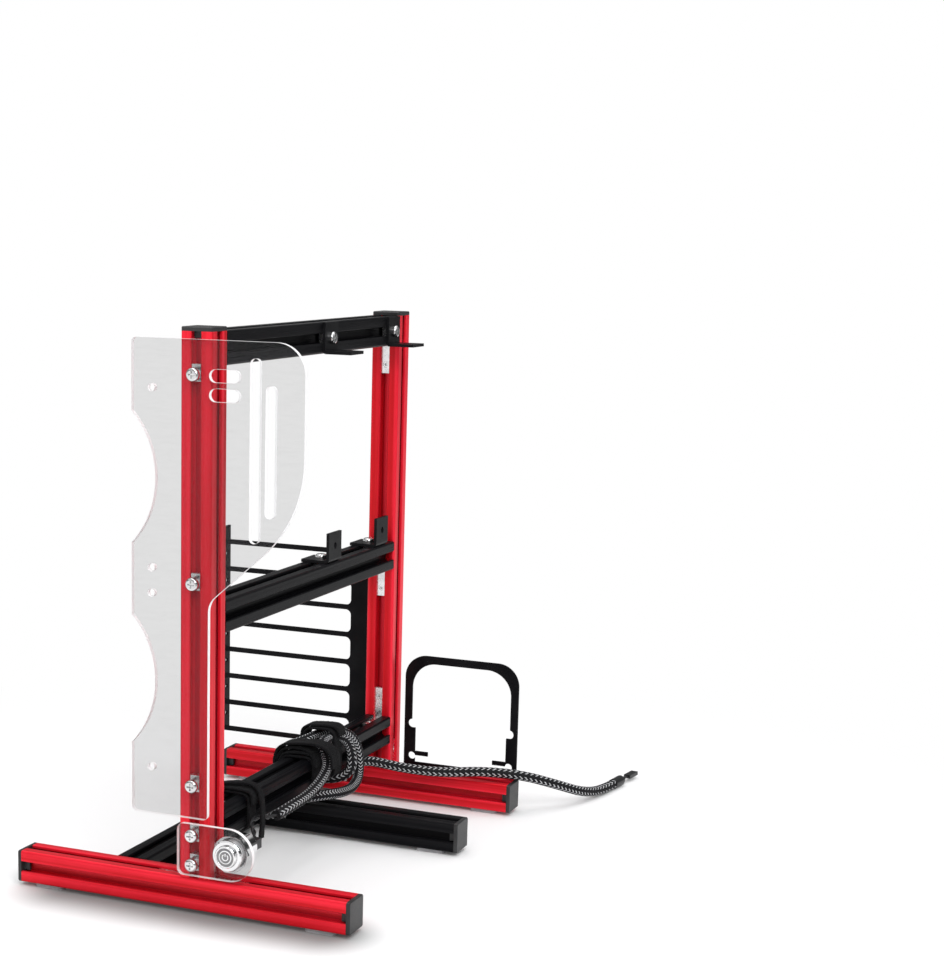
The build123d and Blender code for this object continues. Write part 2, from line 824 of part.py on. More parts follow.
# Standoffs for a full-size board, in the slots of the rear faces
near_column = crossbar_length - near_column_margin
standoff_seats = [
    Plane(origin=(far_middle - column, upright_rear, height), x_dir=AHEAD, z_dir=REAR)
    for column in (near_column, middle_column)
    for height in crossbar_heights.values()
]
standoff_seats += [
    Plane(origin=(far_middle, upright_rear, height), x_dir=UP, z_dir=REAR)
    for height in (bottom_bar_height, middle_bar_height, top_bar_height)
]


def standoff(seat):
    """A hexagonal spacer with a stud into the slot nut and a threaded hole for the board."""
    with BuildPart() as spacer:
        with BuildSketch(seat):
            RegularPolygon(standoff_flats / 2, 6, major_radius=False)
        extrude(amount=standoff_length)
        with BuildSketch(seat):
            Circle(standoff_stud / 2)
        extrude(amount=-slot_lip - nut_thickness)
        with BuildSketch(seat.offset(standoff_length)):
            Circle(standoff_hole / 2)
        extrude(amount=-standoff_length, mode=Mode.SUBTRACT)
    return spacer.part


keep(gather([standoff(seat) for seat in standoff_seats]), "board_standoffs")
standoff_nuts = [slot_nut(seat, 0, standoff_stud) for seat in standoff_seats[:-1]]
standoff_nuts.append(slot_nut(standoff_seats[-1], -standoff_nut_shift, standoff_stud))
keep(gather(standoff_nuts), "board_standoff_nuts")


def tie(place, width, front_room, top_room, tail):
    """A hook-and-loop tie round the bottom crossbar, with room for the lead beside the bar."""
    start = (near_face + place - width / 2, upright_middle, bottom_bar_height)
    reach = profile / 2 + tie_clearance
    with BuildPart() as strap:
        with BuildSketch(Plane(origin=start, x_dir=REAR, z_dir=AHEAD)):
            for skin, mode in ((tie_thickness, Mode.ADD), (0, Mode.SUBTRACT)):
                front = reach + front_room + skin
                top = reach + top_room + skin
                low = reach + skin
                with BuildSketch(Plane.XY, mode=mode) as ring:
                    with Locations(((low - front) / 2, (top - low) / 2)):
                        Rectangle(front + low, top + low)
                    corners = ring.vertices().group_by(Axis.Y)
                    fillet(corners[0], radius=profile_corner + skin)
                    fillet(corners[-1], radius=min(profile_corner + top_room, tie_round) + skin)
            with Locations((-reach - front_room, -reach)):
                Rectangle(tie_thickness, tail + tie_thickness, align=(Align.MAX, Align.MAX))
        extrude(amount=width)
    return strap.part


keep(
    tie(near_tie_place, near_tie_width, near_tie_front_room, near_tie_top_room, near_tie_tail),
    "near_tie",
)
keep(tie(middle_tie_place, middle_tie_width, 0, middle_tie_top_room, 0), "middle_tie")
keep(tie(far_tie_place, far_tie_width, 0, far_tie_top_room, 0), "far_tie")

# Connector pushed on the button's terminals
connector_back = button_back.offset(-connector_length)
with BuildPart() as switch_connector:
    with BuildSketch(button_back):
        Rectangle(connector_width, connector_thickness)
    extrude(amount=-connector_length)
    with BuildSketch(button_back):
        with GridLocations(terminal_pitch, 0, 2, 1):
            Rectangle(terminal_thickness, terminal_width)
    extrude(amount=-terminal_length, mode=Mode.SUBTRACT)
keep(switch_connector.part, "switch_connector")

# Thin wires from the connector to the sleeve, then the sleeved lead round the bar and away
wire_points = [
    tuple(connector_back.origin),
    (-117.5, -41.5, 40.8),
    (-108.0, -32.5, 47.5),
    (-94.0, -31.0, 47.5),
    (-84.5, -34.0, 44.25),
    (-74.5, -34.0, 43.0),
]
lead_points = [
    wire_points[-1],
    (-50.5, -34.0, 40.0),
    (-24.5, -33.8, 41.0),
    (-3.5, -36.0, 43.5),
    (3.0, -38.0, 60.5),
    (7.5, -24.0, 69.0),
    (36.5, -24.0, 68.5),
    (39.0, -38.0, 62.5),
    (42.0, -37.0, 36.0),
    (32.0, 1.5, 35.0),
    (13.5, 3.5, 44.5),
    (3.5, 4.0, 62.5),
    (8.5, -13.0, 69.0),
    (36.5, -14.3, 67.1),
    (49.0, -25.5, 69.5),
    (54.0, -36.5, 62.5),
    (57.5, -36.0, 40.0),
    (46.5, -35.0, 27.5),
    (23.5, -33.0, 27.5),
    (5.5, -25.0, 27.5),
    (8.5, -11.0, 27.0),
    (25.5, -4.5, 27.0),
    (47.5, -5.0, 29.5),
    (71.5, -13.5, 34.3),
    (91.5, -25.0, 37.0),
    (108.5, -44.0, 31.0),
    (119.5, -70.0, 28.0),
    (130.5, -97.0, 29.8),
    (143.5, -123.0, 27.0),
    (165.5, -142.0, 17.0),
    (187.5, -154.0, 7.5),
    (210.0, -161.0, 3.8),
    (231.0, -164.0, 3.8),
]
corner_share = 0.45


def corner_radii(points):
    """The radius of each corner, from the shorter of its two runs and half its turn."""
    places = [Vector(point) for point in points]
    radii = []
    for before, here, after in zip(places, places[1:], places[2:]):
        half_turn = radians((here - before).get_angle(after - here)) / 2
        shorter = min((here - before).length, (after - here).length)
        radii.append(corner_share * shorter / tan(half_turn))
    return radii


def tube(points, diameter):
    """A round solid along straight runs joined by tangent arcs."""
    radii = corner_radii(points)
    with BuildPart() as solid:
        with BuildLine() as route:
            FilletPolyline(*points, radius=radii)
        with BuildSketch(route.line ^ 0):
            Circle(diameter / 2)
        sweep()
    length = sum(edge.length for edge in route.edges())
    expected = length * pi * diameter**2 / 4
    print("corner radii", [round(radius, 1) for radius in radii])
    print("length", round(length, 1), "volume share", round(solid.part.volume / expected, 4))
    return solid.part


keep(tube(wire_points, wire_bundle), "switch_wires")
keep(tube(lead_points, lead_diameter), "switch_lead")

# Heat-shrink on the sleeve's end, the wires that leave it, and their small plug
lead_end = Vector(lead_points[-1])
lead_way = (lead_end - Vector(lead_points[-2])).normalized()
shrink_plane = Plane(origin=lead_end, x_dir=lead_way.cross(Vector(UP)), z_dir=lead_way)
tail_plane = shrink_plane.offset(shrink_length)
with BuildPart() as heat_shrink:
    with BuildSketch(shrink_plane):
        Circle(shrink_diameter / 2)
    extrude(amount=shrink_length)
keep(heat_shrink.part, "lead_heat_shrink")
with BuildPart() as tail_wires:
    with BuildSketch(tail_plane):
        Circle(wire_bundle / 2)
    extrude(amount=tail_length)
keep(tail_wires.part, "lead_tail_wires")
with BuildPart() as plug:
    with BuildSketch(tail_plane.offset(tail_length)):
        Rectangle(plug_width, plug_thickness)
    extrude(amount=plug_length)
keep(plug.part, "lead_plug")
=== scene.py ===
import json
import math
import random

import bmesh
import bpy
from mathutils import Matrix, Vector


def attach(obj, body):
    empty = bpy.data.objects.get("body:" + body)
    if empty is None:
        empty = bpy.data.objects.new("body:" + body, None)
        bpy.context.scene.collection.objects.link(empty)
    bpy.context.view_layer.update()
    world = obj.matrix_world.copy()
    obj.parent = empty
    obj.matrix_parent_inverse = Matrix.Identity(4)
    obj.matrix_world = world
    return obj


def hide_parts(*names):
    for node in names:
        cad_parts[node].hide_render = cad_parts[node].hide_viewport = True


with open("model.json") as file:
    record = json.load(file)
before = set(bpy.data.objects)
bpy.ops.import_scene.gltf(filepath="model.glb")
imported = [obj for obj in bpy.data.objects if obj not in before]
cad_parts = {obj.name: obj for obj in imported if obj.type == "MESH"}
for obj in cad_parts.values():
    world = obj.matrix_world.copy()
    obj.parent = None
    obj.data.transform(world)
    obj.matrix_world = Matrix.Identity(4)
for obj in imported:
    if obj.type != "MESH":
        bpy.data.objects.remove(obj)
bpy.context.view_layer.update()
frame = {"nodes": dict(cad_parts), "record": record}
nodes = frame["nodes"]
scene = bpy.context.scene
MM = 0.001

# The camera of the photograph, as fitted: the picture's size, the focal length and the lens
# centre in pixels, the angles in degrees and the place in metres
PHOTO_WIDTH, PHOTO_HEIGHT = 944.0, 956.0
FOCAL_LENGTH = 2026.31
CENTRE_X, CENTRE_Y = 347.0, 600.0
YAW, PITCH, ROLL = 23.496, 10.436, 1.016
CAMERA_PLACE = (-1.17929, -0.56012, 0.40628)
SENSOR_WIDTH = 36.0


def aim_camera():
    yaw, pitch, roll = math.radians(YAW), math.radians(PITCH), math.radians(ROLL)
    level = math.cos(pitch)
    ahead = Vector((math.cos(yaw) * level, math.sin(yaw) * level, -math.sin(pitch)))
    right = ahead.cross(Vector((0, 0, 1))).normalized()
    up = right.cross(ahead)
    side = math.cos(roll) * right + math.sin(roll) * up
    top = math.cos(roll) * up - math.sin(roll) * right
    data = bpy.data.cameras.new("camera")
    camera = bpy.data.objects.new("camera", data)
    scene.collection.objects.link(camera)
    turn = Matrix((side, top, -ahead)).transposed().to_4x4()
    camera.matrix_world = Matrix.Translation(Vector(CAMERA_PLACE)) @ turn
    data.sensor_width = SENSOR_WIDTH
    data.lens = FOCAL_LENGTH * SENSOR_WIDTH / PHOTO_HEIGHT
    data.shift_x = (PHOTO_WIDTH / 2 - CENTRE_X) / PHOTO_HEIGHT
    data.shift_y = (CENTRE_Y - PHOTO_HEIGHT / 2) / PHOTO_HEIGHT
    data.clip_start = 0.01
    data.clip_end = 50.0
    scene.camera = camera


aim_camera()


# Node helpers
def feed(tree, node, inputs):
    """Links a node's inputs to sockets, or sets them to plain values."""
    for key, value in inputs.items():
        if isinstance(value, bpy.types.NodeSocket):
            tree.links.new(value, node.inputs[key])
        else:
            node.inputs[key].default_value = value


def put(tree, kind, inputs=None, **settings):
    node = tree.nodes.new("ShaderNode" + kind)
    for key, value in settings.items():
        setattr(node, key, value)
    feed(tree, node, inputs or {})
    return node


def cleared(owner, output):
    """The empty node tree of a material or world, and its output node."""
    owner.use_nodes = True
    owner.node_tree.nodes.clear()
    return owner.node_tree, put(owner.node_tree, output)


def blank(name):
    """A new material that has only a Principled shader."""
    material = bpy.data.materials.new(name)
    tree, out = cleared(material, "OutputMaterial")
    body = put(tree, "BsdfPrincipled")
    tree.links.new(body.outputs[0], out.inputs[0])
    return material, tree, body


def place(tree, stretch=(1, 1, 1)):
    where = put(tree, "TexCoord")
    return put(tree, "Mapping", {"Vector": where.outputs["Object"], "Scale": stretch}).outputs[0]


def noise(tree, scale, detail=3.0, stretch=(1, 1, 1), rough=0.5):
    return put(
        tree, "TexNoise",
        {"Vector": place(tree, stretch), "Scale": scale, "Detail": detail, "Roughness": rough},
    ).outputs["Fac"]


def span(tree, value, low=0.0, high=1.0, start=0.3, end=0.7, curve="LINEAR"):
    """A value from start to end, as one from low to high. A noise stays mostly in 0.3 to 0.7."""
    return put(
        tree, "MapRange",
        {"Value": value, "From Min": start, "From Max": end, "To Min": low, "To Max": high},
        interpolation_type=curve,
    ).outputs[0]


def sums(tree, how, a, b=0.0, c=0.0):
    return put(tree, "Math", {0: a, 1: b, 2: c}, operation=how).outputs[0]


def vectors(tree, how, a, b=(0.0, 0.0, 0.0)):
    return put(tree, "VectorMath", {0: a, 1: b}, operation=how)


def mix(tree, factor, a, b):
    return put(tree, "Mix", {0: factor, 2: a, 3: b}).outputs[0]


def blend(tree, factor, a, b):
    """The same as mix, for colours."""
    return put(tree, "Mix", {0: factor, 6: a, 7: b}, data_type="RGBA").outputs[2]


def bump(tree, body, height, strength, depth, edge=0.0):
    """Relief from a height, with edges rounded to the radius that edge gives."""
    inputs = {"Height": height, "Strength": strength, "Distance": depth}
    if edge:
        inputs["Normal"] = put(tree, "Bevel", {"Radius": edge}, samples=4).outputs[0]
    tree.links.new(put(tree, "Bump", inputs).outputs[0], body.inputs["Normal"])


def rgb(r, g, b):
    return (r, g, b, 1.0)


# Materials. Most mix a darker and a lighter colour by a noise, and lengths are in metres
WHITE = rgb(1.0, 1.0, 1.0)


def anodised(name, along, deep, light, rough, metallic, gloss):
    """Satin anodised aluminium: faint lines along the bar, and a painted shade inside the slots.
    """
    lengthwise, crosswise = 2.0, 340.0
    line_share, cloud_share = 0.85, 0.15
    slot_reach, slot_shade_tone = 0.007, 0.12
    material, tree, body = blank(name)
    lines = tuple(lengthwise if axis == along else crosswise for axis in range(3))
    fine = noise(tree, scale=6.0, detail=4.0, stretch=lines, rough=0.65)
    wide = noise(tree, scale=0.7, detail=2.0, stretch=lines)
    cloud = sums(tree, "MULTIPLY", noise(tree, scale=22.0), cloud_share)
    tone = sums(tree, "ADD", sums(tree, "MULTIPLY", wide, line_share), cloud)
    tone = span(tree, tone, start=0.38, end=0.62)
    # Painted shade: a short-reach occlusion darkens the colour inside the slots, where shade falls
    sky = put(tree, "AmbientOcclusion", {"Distance": slot_reach}, samples=8, only_local=True)
    in_the_open = span(tree, sky.outputs["AO"], start=0.22, end=0.72)
    slot_painted_shade = tuple(c * slot_shade_tone for c in deep[:3]) + (1.0,)
    feed(tree, body, {
        "Base Color": blend(tree, in_the_open, slot_painted_shade, blend(tree, tone, deep, light)),
        "Roughness": span(tree, fine, rough - 0.07, rough + 0.09),
        "Metallic": metallic,
        "Specular IOR Level": gloss,
    })
    bump(tree, body, fine, strength=0.12, depth=0.00004, edge=0.0003)
    return material


def metal(name, dark, light, rough, grain=900.0, strength=0.15, edge=0.00015):
    """Plated steel or brass with a fine uneven grain."""
    material, tree, body = blank(name)
    fine = noise(tree, grain, detail=4.0)
    cloud = noise(tree, scale=140.0)
    feed(tree, body, {
        "Base Color": blend(tree, span(tree, cloud), dark, light),
        "Roughness": span(tree, fine, rough * 0.7, rough * 1.35),
        "Metallic": 1.0,
    })
    bump(tree, body, fine, strength, depth=0.00004, edge=edge)
    return material


def coated(name, dark, light, rough, grain, strength, edge=0.0002, gloss=0.3, through=0.0):
    """Moulded plastic, rubber or powder coat: a fine stipple over a slightly clouded colour."""
    material, tree, body = blank(name)
    fine = noise(tree, grain, rough=0.6)
    cloud = noise(tree, scale=60.0)
    feed(tree, body, {
        "Base Color": blend(tree, span(tree, cloud), dark, light),
        "Roughness": span(tree, fine, rough - 0.06, rough + 0.08),
        "Specular IOR Level": gloss,
        "Transmission Weight": through,
    })
    bump(tree, body, fine, strength, depth=0.00012, edge=edge)
    return material


def acrylic():
    """Clear sheet: see-through scratched faces, and a bright, finely ribbed cut edge with a
    painted glow.
    """
    edge_alpha, lamp_alpha, edge_painted_glow, mirror_share = 0.93, 0.03, 0.10, 0.6
    material, tree, body = blank("acrylic")
    # The plates stand across X, so a normal that points away from X belongs to a cut edge
    normal = put(tree, "NewGeometry").outputs["True Normal"]
    facing = put(tree, "SeparateXYZ", {"Vector": normal}).outputs[0]
    cut = sums(tree, "LESS_THAN", sums(tree, "ABSOLUTE", facing), 0.5)
    ribs = noise(tree, scale=9.0, detail=2.0, stretch=(6.0, 160.0, 160.0))
    scratch = noise(tree, scale=3.0, detail=6.0, stretch=(1.0, 30.0, 210.0), rough=0.7)
    mirror = sums(tree, "MULTIPLY", put(tree, "Fresnel", {"IOR": 1.49}).outputs[0], mirror_share)
    haze = span(tree, scratch, low=0.120, high=0.140, start=0.45, end=0.75)
    haze = sums(tree, "ADD", haze, mirror)
    # Light from the lamps and the floor passes the faces almost unhindered
    rays = put(tree, "LightPath")
    lamps = sums(tree, "MAXIMUM", rays.outputs["Is Shadow Ray"], rays.outputs["Is Diffuse Ray"])
    sheet = mix(tree, lamps, haze, lamp_alpha)
    face_rough = span(tree, scratch, low=0.03, high=0.08, start=0.55, end=0.75)
    edge_rough = span(tree, ribs, low=0.30, high=0.38)
    feed(tree, body, {
        "Alpha": mix(tree, cut, sheet, edge_alpha),
        "Roughness": mix(tree, cut, face_rough, edge_rough),
        # Painted light: the cut edges glow faintly, standing in for light carried along the sheet
        "Emission Strength": sums(tree, "MULTIPLY", cut, edge_painted_glow),
        "Base Color": blend(tree, cut, rgb(0.015, 0.015, 0.017), rgb(0.84, 0.84, 0.85)),
        "IOR": 1.6,
        "Emission Color": WHITE,
    })
    bump(tree, body, sums(tree, "MULTIPLY", ribs, cut), strength=0.08, depth=0.00003)
    return material


def felt(name, dark, light, grain, strength):
    """Felted loop fabric: tangled fibres with a soft sheen."""
    material, tree, body = blank(name)
    fibre = noise(tree, grain, detail=6.0, rough=0.75)
    tuft = put(tree, "TexVoronoi", {"Vector": place(tree), "Scale": grain * 0.8})
    both = sums(tree, "ADD", fibre, sums(tree, "MULTIPLY", tuft.outputs["Distance"], 0.7))
    feed(tree, body, {
        "Base Color": blend(tree, span(tree, both, start=0.5, end=1.0), dark, light),
        "Roughness": span(tree, fibre, low=0.75, high=0.95),
        "Sheen Weight": 0.03,
        "Sheen Roughness": 0.4,
        "Specular IOR Level": 0.06,
    })
    bump(tree, body, both, strength, depth=0.0004)
    return material


def zigzag(tree, value):
    """A value's fraction turned into a wave: 1 at both ends of the fraction, 0 in its middle."""
    return sums(tree, "ABSOLUTE", sums(tree, "MULTIPLY_ADD", value, 2.0, -1.0))


def braid(length, diameter):
    """Black woven sleeve with rows of small pale chevrons along it."""
    strands = 16.0
    rows, step, mark_share, mark_reach = 4.0, 0.0028, 0.30, 0.60
    material, tree, body = blank("braid")
    where = put(tree, "SeparateXYZ", {"Vector": put(tree, "TexCoord").outputs["UV"]})
    along, around = where.outputs[0], where.outputs[1]
    # The weave: two sets of strands wind in opposite ways, and go over each other by turns
    turns = sums(tree, "MULTIPLY", along, length / (math.pi * diameter) * strands)
    across = sums(tree, "MULTIPLY", around, strands)
    cells, ridges = [], []
    for how in ("ADD", "SUBTRACT"):
        strand = sums(tree, how, turns, across)
        ridge = sums(tree, "SUBTRACT", 1.0, zigzag(tree, sums(tree, "FRACT", strand)))
        cells.append(sums(tree, "FLOOR", strand))
        ridges.append(sums(tree, "POWER", ridge, 0.5))
    over = sums(tree, "FLOORED_MODULO", sums(tree, "ADD", *cells), 2.0)
    height = mix(tree, over, *ridges)
    # The chevrons: short slanted marks, mirrored about each row's middle
    slant = zigzag(tree, sums(tree, "FRACT", sums(tree, "MULTIPLY", around, rows)))
    wave = sums(tree, "FRACT", sums(tree, "MULTIPLY_ADD", along, length / step, slant))
    marked = sums(tree, "LESS_THAN", wave, mark_share)
    marked = sums(tree, "MULTIPLY", marked, sums(tree, "LESS_THAN", slant, mark_reach))
    fibre = noise(tree, scale=2600.0, detail=4.0)
    tone = span(tree, fibre)
    dark = blend(tree, tone, rgb(0.004, 0.004, 0.005), rgb(0.018, 0.018, 0.020))
    pale = blend(tree, tone, rgb(0.34, 0.345, 0.36), rgb(0.68, 0.69, 0.71))
    # Painted shade: the grooves between the strands are darkened towards black
    groove_shade = span(tree, height, low=1.0, high=0.0, start=0.0, end=0.5)
    feed(tree, body, {
        "Base Color": blend(tree, groove_shade, blend(tree, marked, dark, pale), rgb(0.005, 0.005, 0.006)),
        "Roughness": span(tree, fibre, low=0.45, high=0.65),
        "Specular IOR Level": 0.10,
    })
    relief = sums(tree, "ADD", height, sums(tree, "MULTIPLY", fibre, 0.3))
    bump(tree, body, relief, strength=0.6, depth=0.0003)
    return material


bar_colours = {
    "red": {
        "deep": rgb(0.56, 0.002, 0.008), "light": rgb(0.94, 0.020, 0.045),
        "rough": 0.33, "metallic": 0.35, "gloss": 0.28,
    },
    "black": {
        "deep": rgb(0.003, 0.003, 0.004), "light": rgb(0.009, 0.009, 0.010),
        "rough": 0.30, "metallic": 0.0, "gloss": 0.06,
    },
}
screw_steel = metal("screw_steel", rgb(0.62, 0.62, 0.63), rgb(0.86, 0.86, 0.86), rough=0.18)
zinc = metal(
    "zinc_steel", rgb(0.70, 0.70, 0.71), rgb(0.90, 0.90, 0.90),
    rough=0.26, grain=700.0, strength=0.25,
)
button_fixing = metal("button_fixing", rgb(0.68, 0.68, 0.69), rgb(0.86, 0.86, 0.86), rough=0.2)
chrome = metal(
    "button_metal", rgb(0.80, 0.80, 0.81), rgb(0.88, 0.88, 0.88),
    rough=0.07, grain=1500.0, strength=0.05, edge=0.0002,
)
satin = metal(
    "button_satin", rgb(0.20, 0.20, 0.21), rgb(0.34, 0.34, 0.34),
    rough=0.38, grain=1800.0, strength=0.3,
)
brass = metal("standoff_brass", rgb(0.62, 0.42, 0.14), rgb(0.80, 0.58, 0.22), rough=0.24)
terminal = metal("terminal_metal", rgb(0.62, 0.60, 0.54), rgb(0.80, 0.79, 0.74), rough=0.28)
cap_plastic = coated(
    "cap_plastic", rgb(0.014, 0.014, 0.015), rgb(0.032, 0.032, 0.033),
    rough=0.42, grain=1700.0, strength=0.5, edge=0.0003, gloss=0.4,
)
plug_plastic = coated(
    "plug_plastic", rgb(0.012, 0.012, 0.013), rgb(0.022, 0.022, 0.024),
    rough=0.36, grain=1500.0, strength=0.2,
)
powder = coated(
    "black_sheet", rgb(0.003, 0.003, 0.004), rgb(0.008, 0.008, 0.009),
    rough=0.45, grain=2300.0, strength=0.45, gloss=0.08,
)
bracket_black = coated(
    "black_bracket", rgb(0.004, 0.004, 0.005), rgb(0.012, 0.012, 0.013),
    rough=0.34, grain=1300.0, strength=0.25, gloss=0.08,
)
wire_skin = coated(
    "wire", rgb(0.010, 0.010, 0.011), rgb(0.024, 0.024, 0.026),
    rough=0.36, grain=1200.0, strength=0.15,
)
tie_cloth = felt(
    "tie_fabric", rgb(0.001, 0.001, 0.0015), rgb(0.010, 0.010, 0.011),
    grain=1500.0, strength=0.9,
)
ring_light = coated(
    "button_light_ring", rgb(0.78, 0.79, 0.80), rgb(0.90, 0.90, 0.90),
    rough=0.3, grain=900.0, strength=0.1,
)
pad_rubber = coated(
    "pad_rubber", rgb(0.42, 0.42, 0.44), rgb(0.62, 0.62, 0.64),
    rough=0.4, grain=800.0, strength=0.3, through=0.35,
)
clear = acrylic()

# Each bar's colour, and the axis along which it runs
bars = {
    "near_foot": ("red", 1), "far_foot": ("red", 1),
    "near_upright": ("red", 2), "far_upright": ("red", 2),
    "mid_foot": ("black", 1), "floor_crossbar": ("black", 0), "bottom_crossbar": ("black", 0),
    "middle_crossbar": ("black", 0), "top_crossbar": ("black", 0),
}
slots = {
    "cap_plastic": cap_plastic, "pad_rubber": pad_rubber, "clear_acrylic": clear,
    "screw_steel": screw_steel, "zinc_steel": zinc, "black_sheet": powder,
    "black_bracket": bracket_black, "button_metal": chrome, "button_fixing": button_fixing,
    "terminal_metal": terminal, "standoff_brass": brass, "tie_fabric": tie_cloth,
    "braid": tie_cloth, "wire": wire_skin, "plug_plastic": plug_plastic,
}
finishes = {}
for part in frame["record"]["subparts"]:
    name = part["node"]
    if name in bars:
        colour, along = bars[name]
        label = colour + "_anodised_" + "xyz"[along]
        if label not in finishes:
            finishes[label] = anodised(label, along, **bar_colours[colour])
        finish = finishes[label]
    else:
        finish = slots[part["material_slot"]]
    mesh = nodes[name].data
    mesh.materials.clear()
    mesh.materials.append(finish)

# The clear plates' faces lie a hair inside the solid, off the bars that they touch
PLATE_INSET = 0.00005
for name in ("fan_plate", "switch_plate"):
    inset = nodes[name].modifiers.new("inset", "DISPLACE")
    inset.strength = -PLATE_INSET
    inset.mid_level = 0.0


# Meshes made here
def piece(name, mesh, materials, body, smooth=True):
    for material in materials:
        mesh.materials.append(material)
    made = bpy.data.objects.new(name, mesh)
    scene.collection.objects.link(made)
    if smooth:
        for face in mesh.polygons:
            face.use_smooth = True
    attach(made, body)
    return made


def mesh_of(bm, name):
    bmesh.ops.recalc_face_normals(bm, faces=bm.faces)
    mesh = bpy.data.meshes.new(name)
    bm.to_mesh(mesh)
    bm.free()
    return mesh


def band(bm, a, b):
    """The faces between two rings of as many vertices."""
    count = len(a)
    return [
        bm.faces.new((a[k], a[(k + 1) % count], b[(k + 1) % count], b[k]))
        for k in range(count)
    ]


# Lead: thin wires from the connector, then the sleeve round the bar and away, in millimetres
wire_route = [
    (-122.5, -41.5, 40.8), (-117.5, -41.5, 40.8), (-108.0, -32.5, 47.5), (-94.0, -31.0, 47.5),
    (-84.5, -34.0, 44.25), (-74.5, -34.0, 43.0),
]
lead_route = [
    (-74.5, -34.0, 43.0), (-54.0, -34.6, 43.8), (-30.0, -35.2, 44.6), (-9.5, -35.6, 49.5),
    (3.0, -35.6, 58.5), (8.5, -25.0, 69.2), (35.0, -24.5, 68.8), (41.0, -34.5, 65.0),
    (43.0, -35.5, 38.0), (34.0, 1.5, 36.6), (19.0, 4.2, 43.0), (12.5, 3.6, 62.2),
    (14.0, -12.5, 68.8), (36.0, -13.0, 68.6), (46.5, -25.0, 70.0), (50.5, -35.0, 62.5),
    (53.5, -36.0, 40.0), (44.0, -35.5, 31.6), (25.5, -34.0, 32.4), (12.0, -27.0, 33.4),
    (11.0, -10.0, 29.0), (26.5, -3.0, 27.0), (47.5, -5.5, 31.0), (71.5, -13.5, 37.0),
    (91.5, -24.0, 39.0), (108.5, -44.0, 31.0), (119.5, -70.0, 28.0), (130.5, -97.0, 29.8),
    (143.5, -123.0, 27.0), (165.5, -142.0, 17.0), (187.5, -154.0, 7.5), (210.0, -161.0, 3.8),
    (231.0, -164.0, 3.8),
]
WIRE_RADIUS = 0.74 * MM
TWIST_PITCH = 14.0 * MM
WIRE_SIDES = 12
SHRINK_LENGTH = 14.0
TAIL_LENGTH = 12.0
TAIL_STEPS = 12


def nurbs(name, route, diameter):
    data = bpy.data.curves.new(name, "CURVE")
    data.dimensions = "3D"
    line = data.splines.new("NURBS")
    line.points.add(len(route) - 1)
    for point, spot in zip(line.points, route):
        point.co = (spot[0] * MM, spot[1] * MM, spot[2] * MM, 1.0)
    line.order_u = 3
    line.use_endpoint_u = True
    line.resolution_u = 12
    data.bevel_depth = diameter / 2
    data.bevel_resolution = 6
    data.use_fill_caps = True
    made = bpy.data.objects.new(name, data)
    scene.collection.objects.link(made)
    return made


def centreline(route):
    """The points of the route's spline, as a curve without a bevel gives them."""
    bare = nurbs("bare", route, 0.0)
    mesh = bpy.data.meshes.new_from_object(bare)
    line = [vertex.co.copy() for vertex in mesh.vertices]
    bpy.data.objects.remove(bare)
    bpy.data.meshes.remove(mesh)
    return line


def walk(line):
    """The distance along a line at each of its points."""
    total = [0.0]
    for a, b in zip(line, line[1:]):
        total.append(total[-1] + (b - a).length)
    return total


def twisted(name, line):
    """Two wires that touch and wind round a line."""
    bm = bmesh.new()
    side = Vector((0, 0, 1))
    stations = []
    for i, travelled in enumerate(walk(line)):
        ahead = (line[min(i + 1, len(line) - 1)] - line[max(i - 1, 0)]).normalized()
        side = (side - ahead * side.dot(ahead)).normalized()
        stations.append((line[i], side.copy(), ahead.cross(side), travelled))
    for phase in (0.0, math.pi):
        rings = []
        for centre, u, v, travelled in stations:
            wind = phase + 2 * math.pi * travelled / TWIST_PITCH
            middle = centre + (u * math.cos(wind) + v * math.sin(wind)) * WIRE_RADIUS
            ring = []
            for k in range(WIRE_SIDES):
                angle = 2 * math.pi * k / WIRE_SIDES
                reach = (u * math.cos(angle) + v * math.sin(angle)) * WIRE_RADIUS
                ring.append(bm.verts.new(middle + reach))
            rings.append(ring)
        for a, b in zip(rings, rings[1:]):
            band(bm, a, b)
        bm.faces.new(rings[0])
        bm.faces.new(rings[-1])
    return mesh_of(bm, name)


def wire_pair(name, line):
    return piece(name, twisted(name, line), (wire_skin,), "frame")


lead = nurbs("braided_lead", lead_route, 7.0 * MM)
lead_length = walk(centreline(lead_route))[-1]
lead.data.materials.append(braid(lead_length, 7.0 * MM))
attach(lead, "frame")
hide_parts("switch_lead")

wire_line = centreline(wire_route)
wires = wire_pair("switch_wire_pair", wire_line)
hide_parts("switch_wires")

# The bare wires past the sleeve's shrink cover go straight on, as far as the plug
lead_end = Vector(lead_route[-1]) * MM
lead_way = (lead_end - Vector(lead_route[-2]) * MM).normalized()
tail_start = lead_end + lead_way * SHRINK_LENGTH * MM
tail_line = [
    tail_start + lead_way * TAIL_LENGTH * MM * i / TAIL_STEPS for i in range(TAIL_STEPS + 1)
]
tail = wire_pair("lead_tail_wire_pair", tail_line)
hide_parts("lead_tail_wires")

# Hook-and-loop ties round the bottom crossbar, in millimetres. Each is a closed loop with the
# strap's own layers laid over it, and the number beside a layer says how much narrower it is. A
# point is (along the bar from the tie's place, y, z), and the seed sets the felt's fuzz
LOOP_THICKNESS, LAYER_THICKNESS = 1.6, 1.5
FUZZ = 0.10
CORNER_CUTS = 4
FLAT_STEPS = 9


def bar_loop(front_corner):
    """A loop close round the bar, whose front corner rises to the height given."""
    return [
        (0.0, -28.6, 40.8), (0.0, -28.9, 52.0), (0.0, -28.8, front_corner), (0.0, -17.5, 63.4),
        (0.0, -6.1, 63.3), (0.0, -6.0, 52.0), (0.0, -6.3, 40.8), (0.0, -17.5, 40.6),
    ]


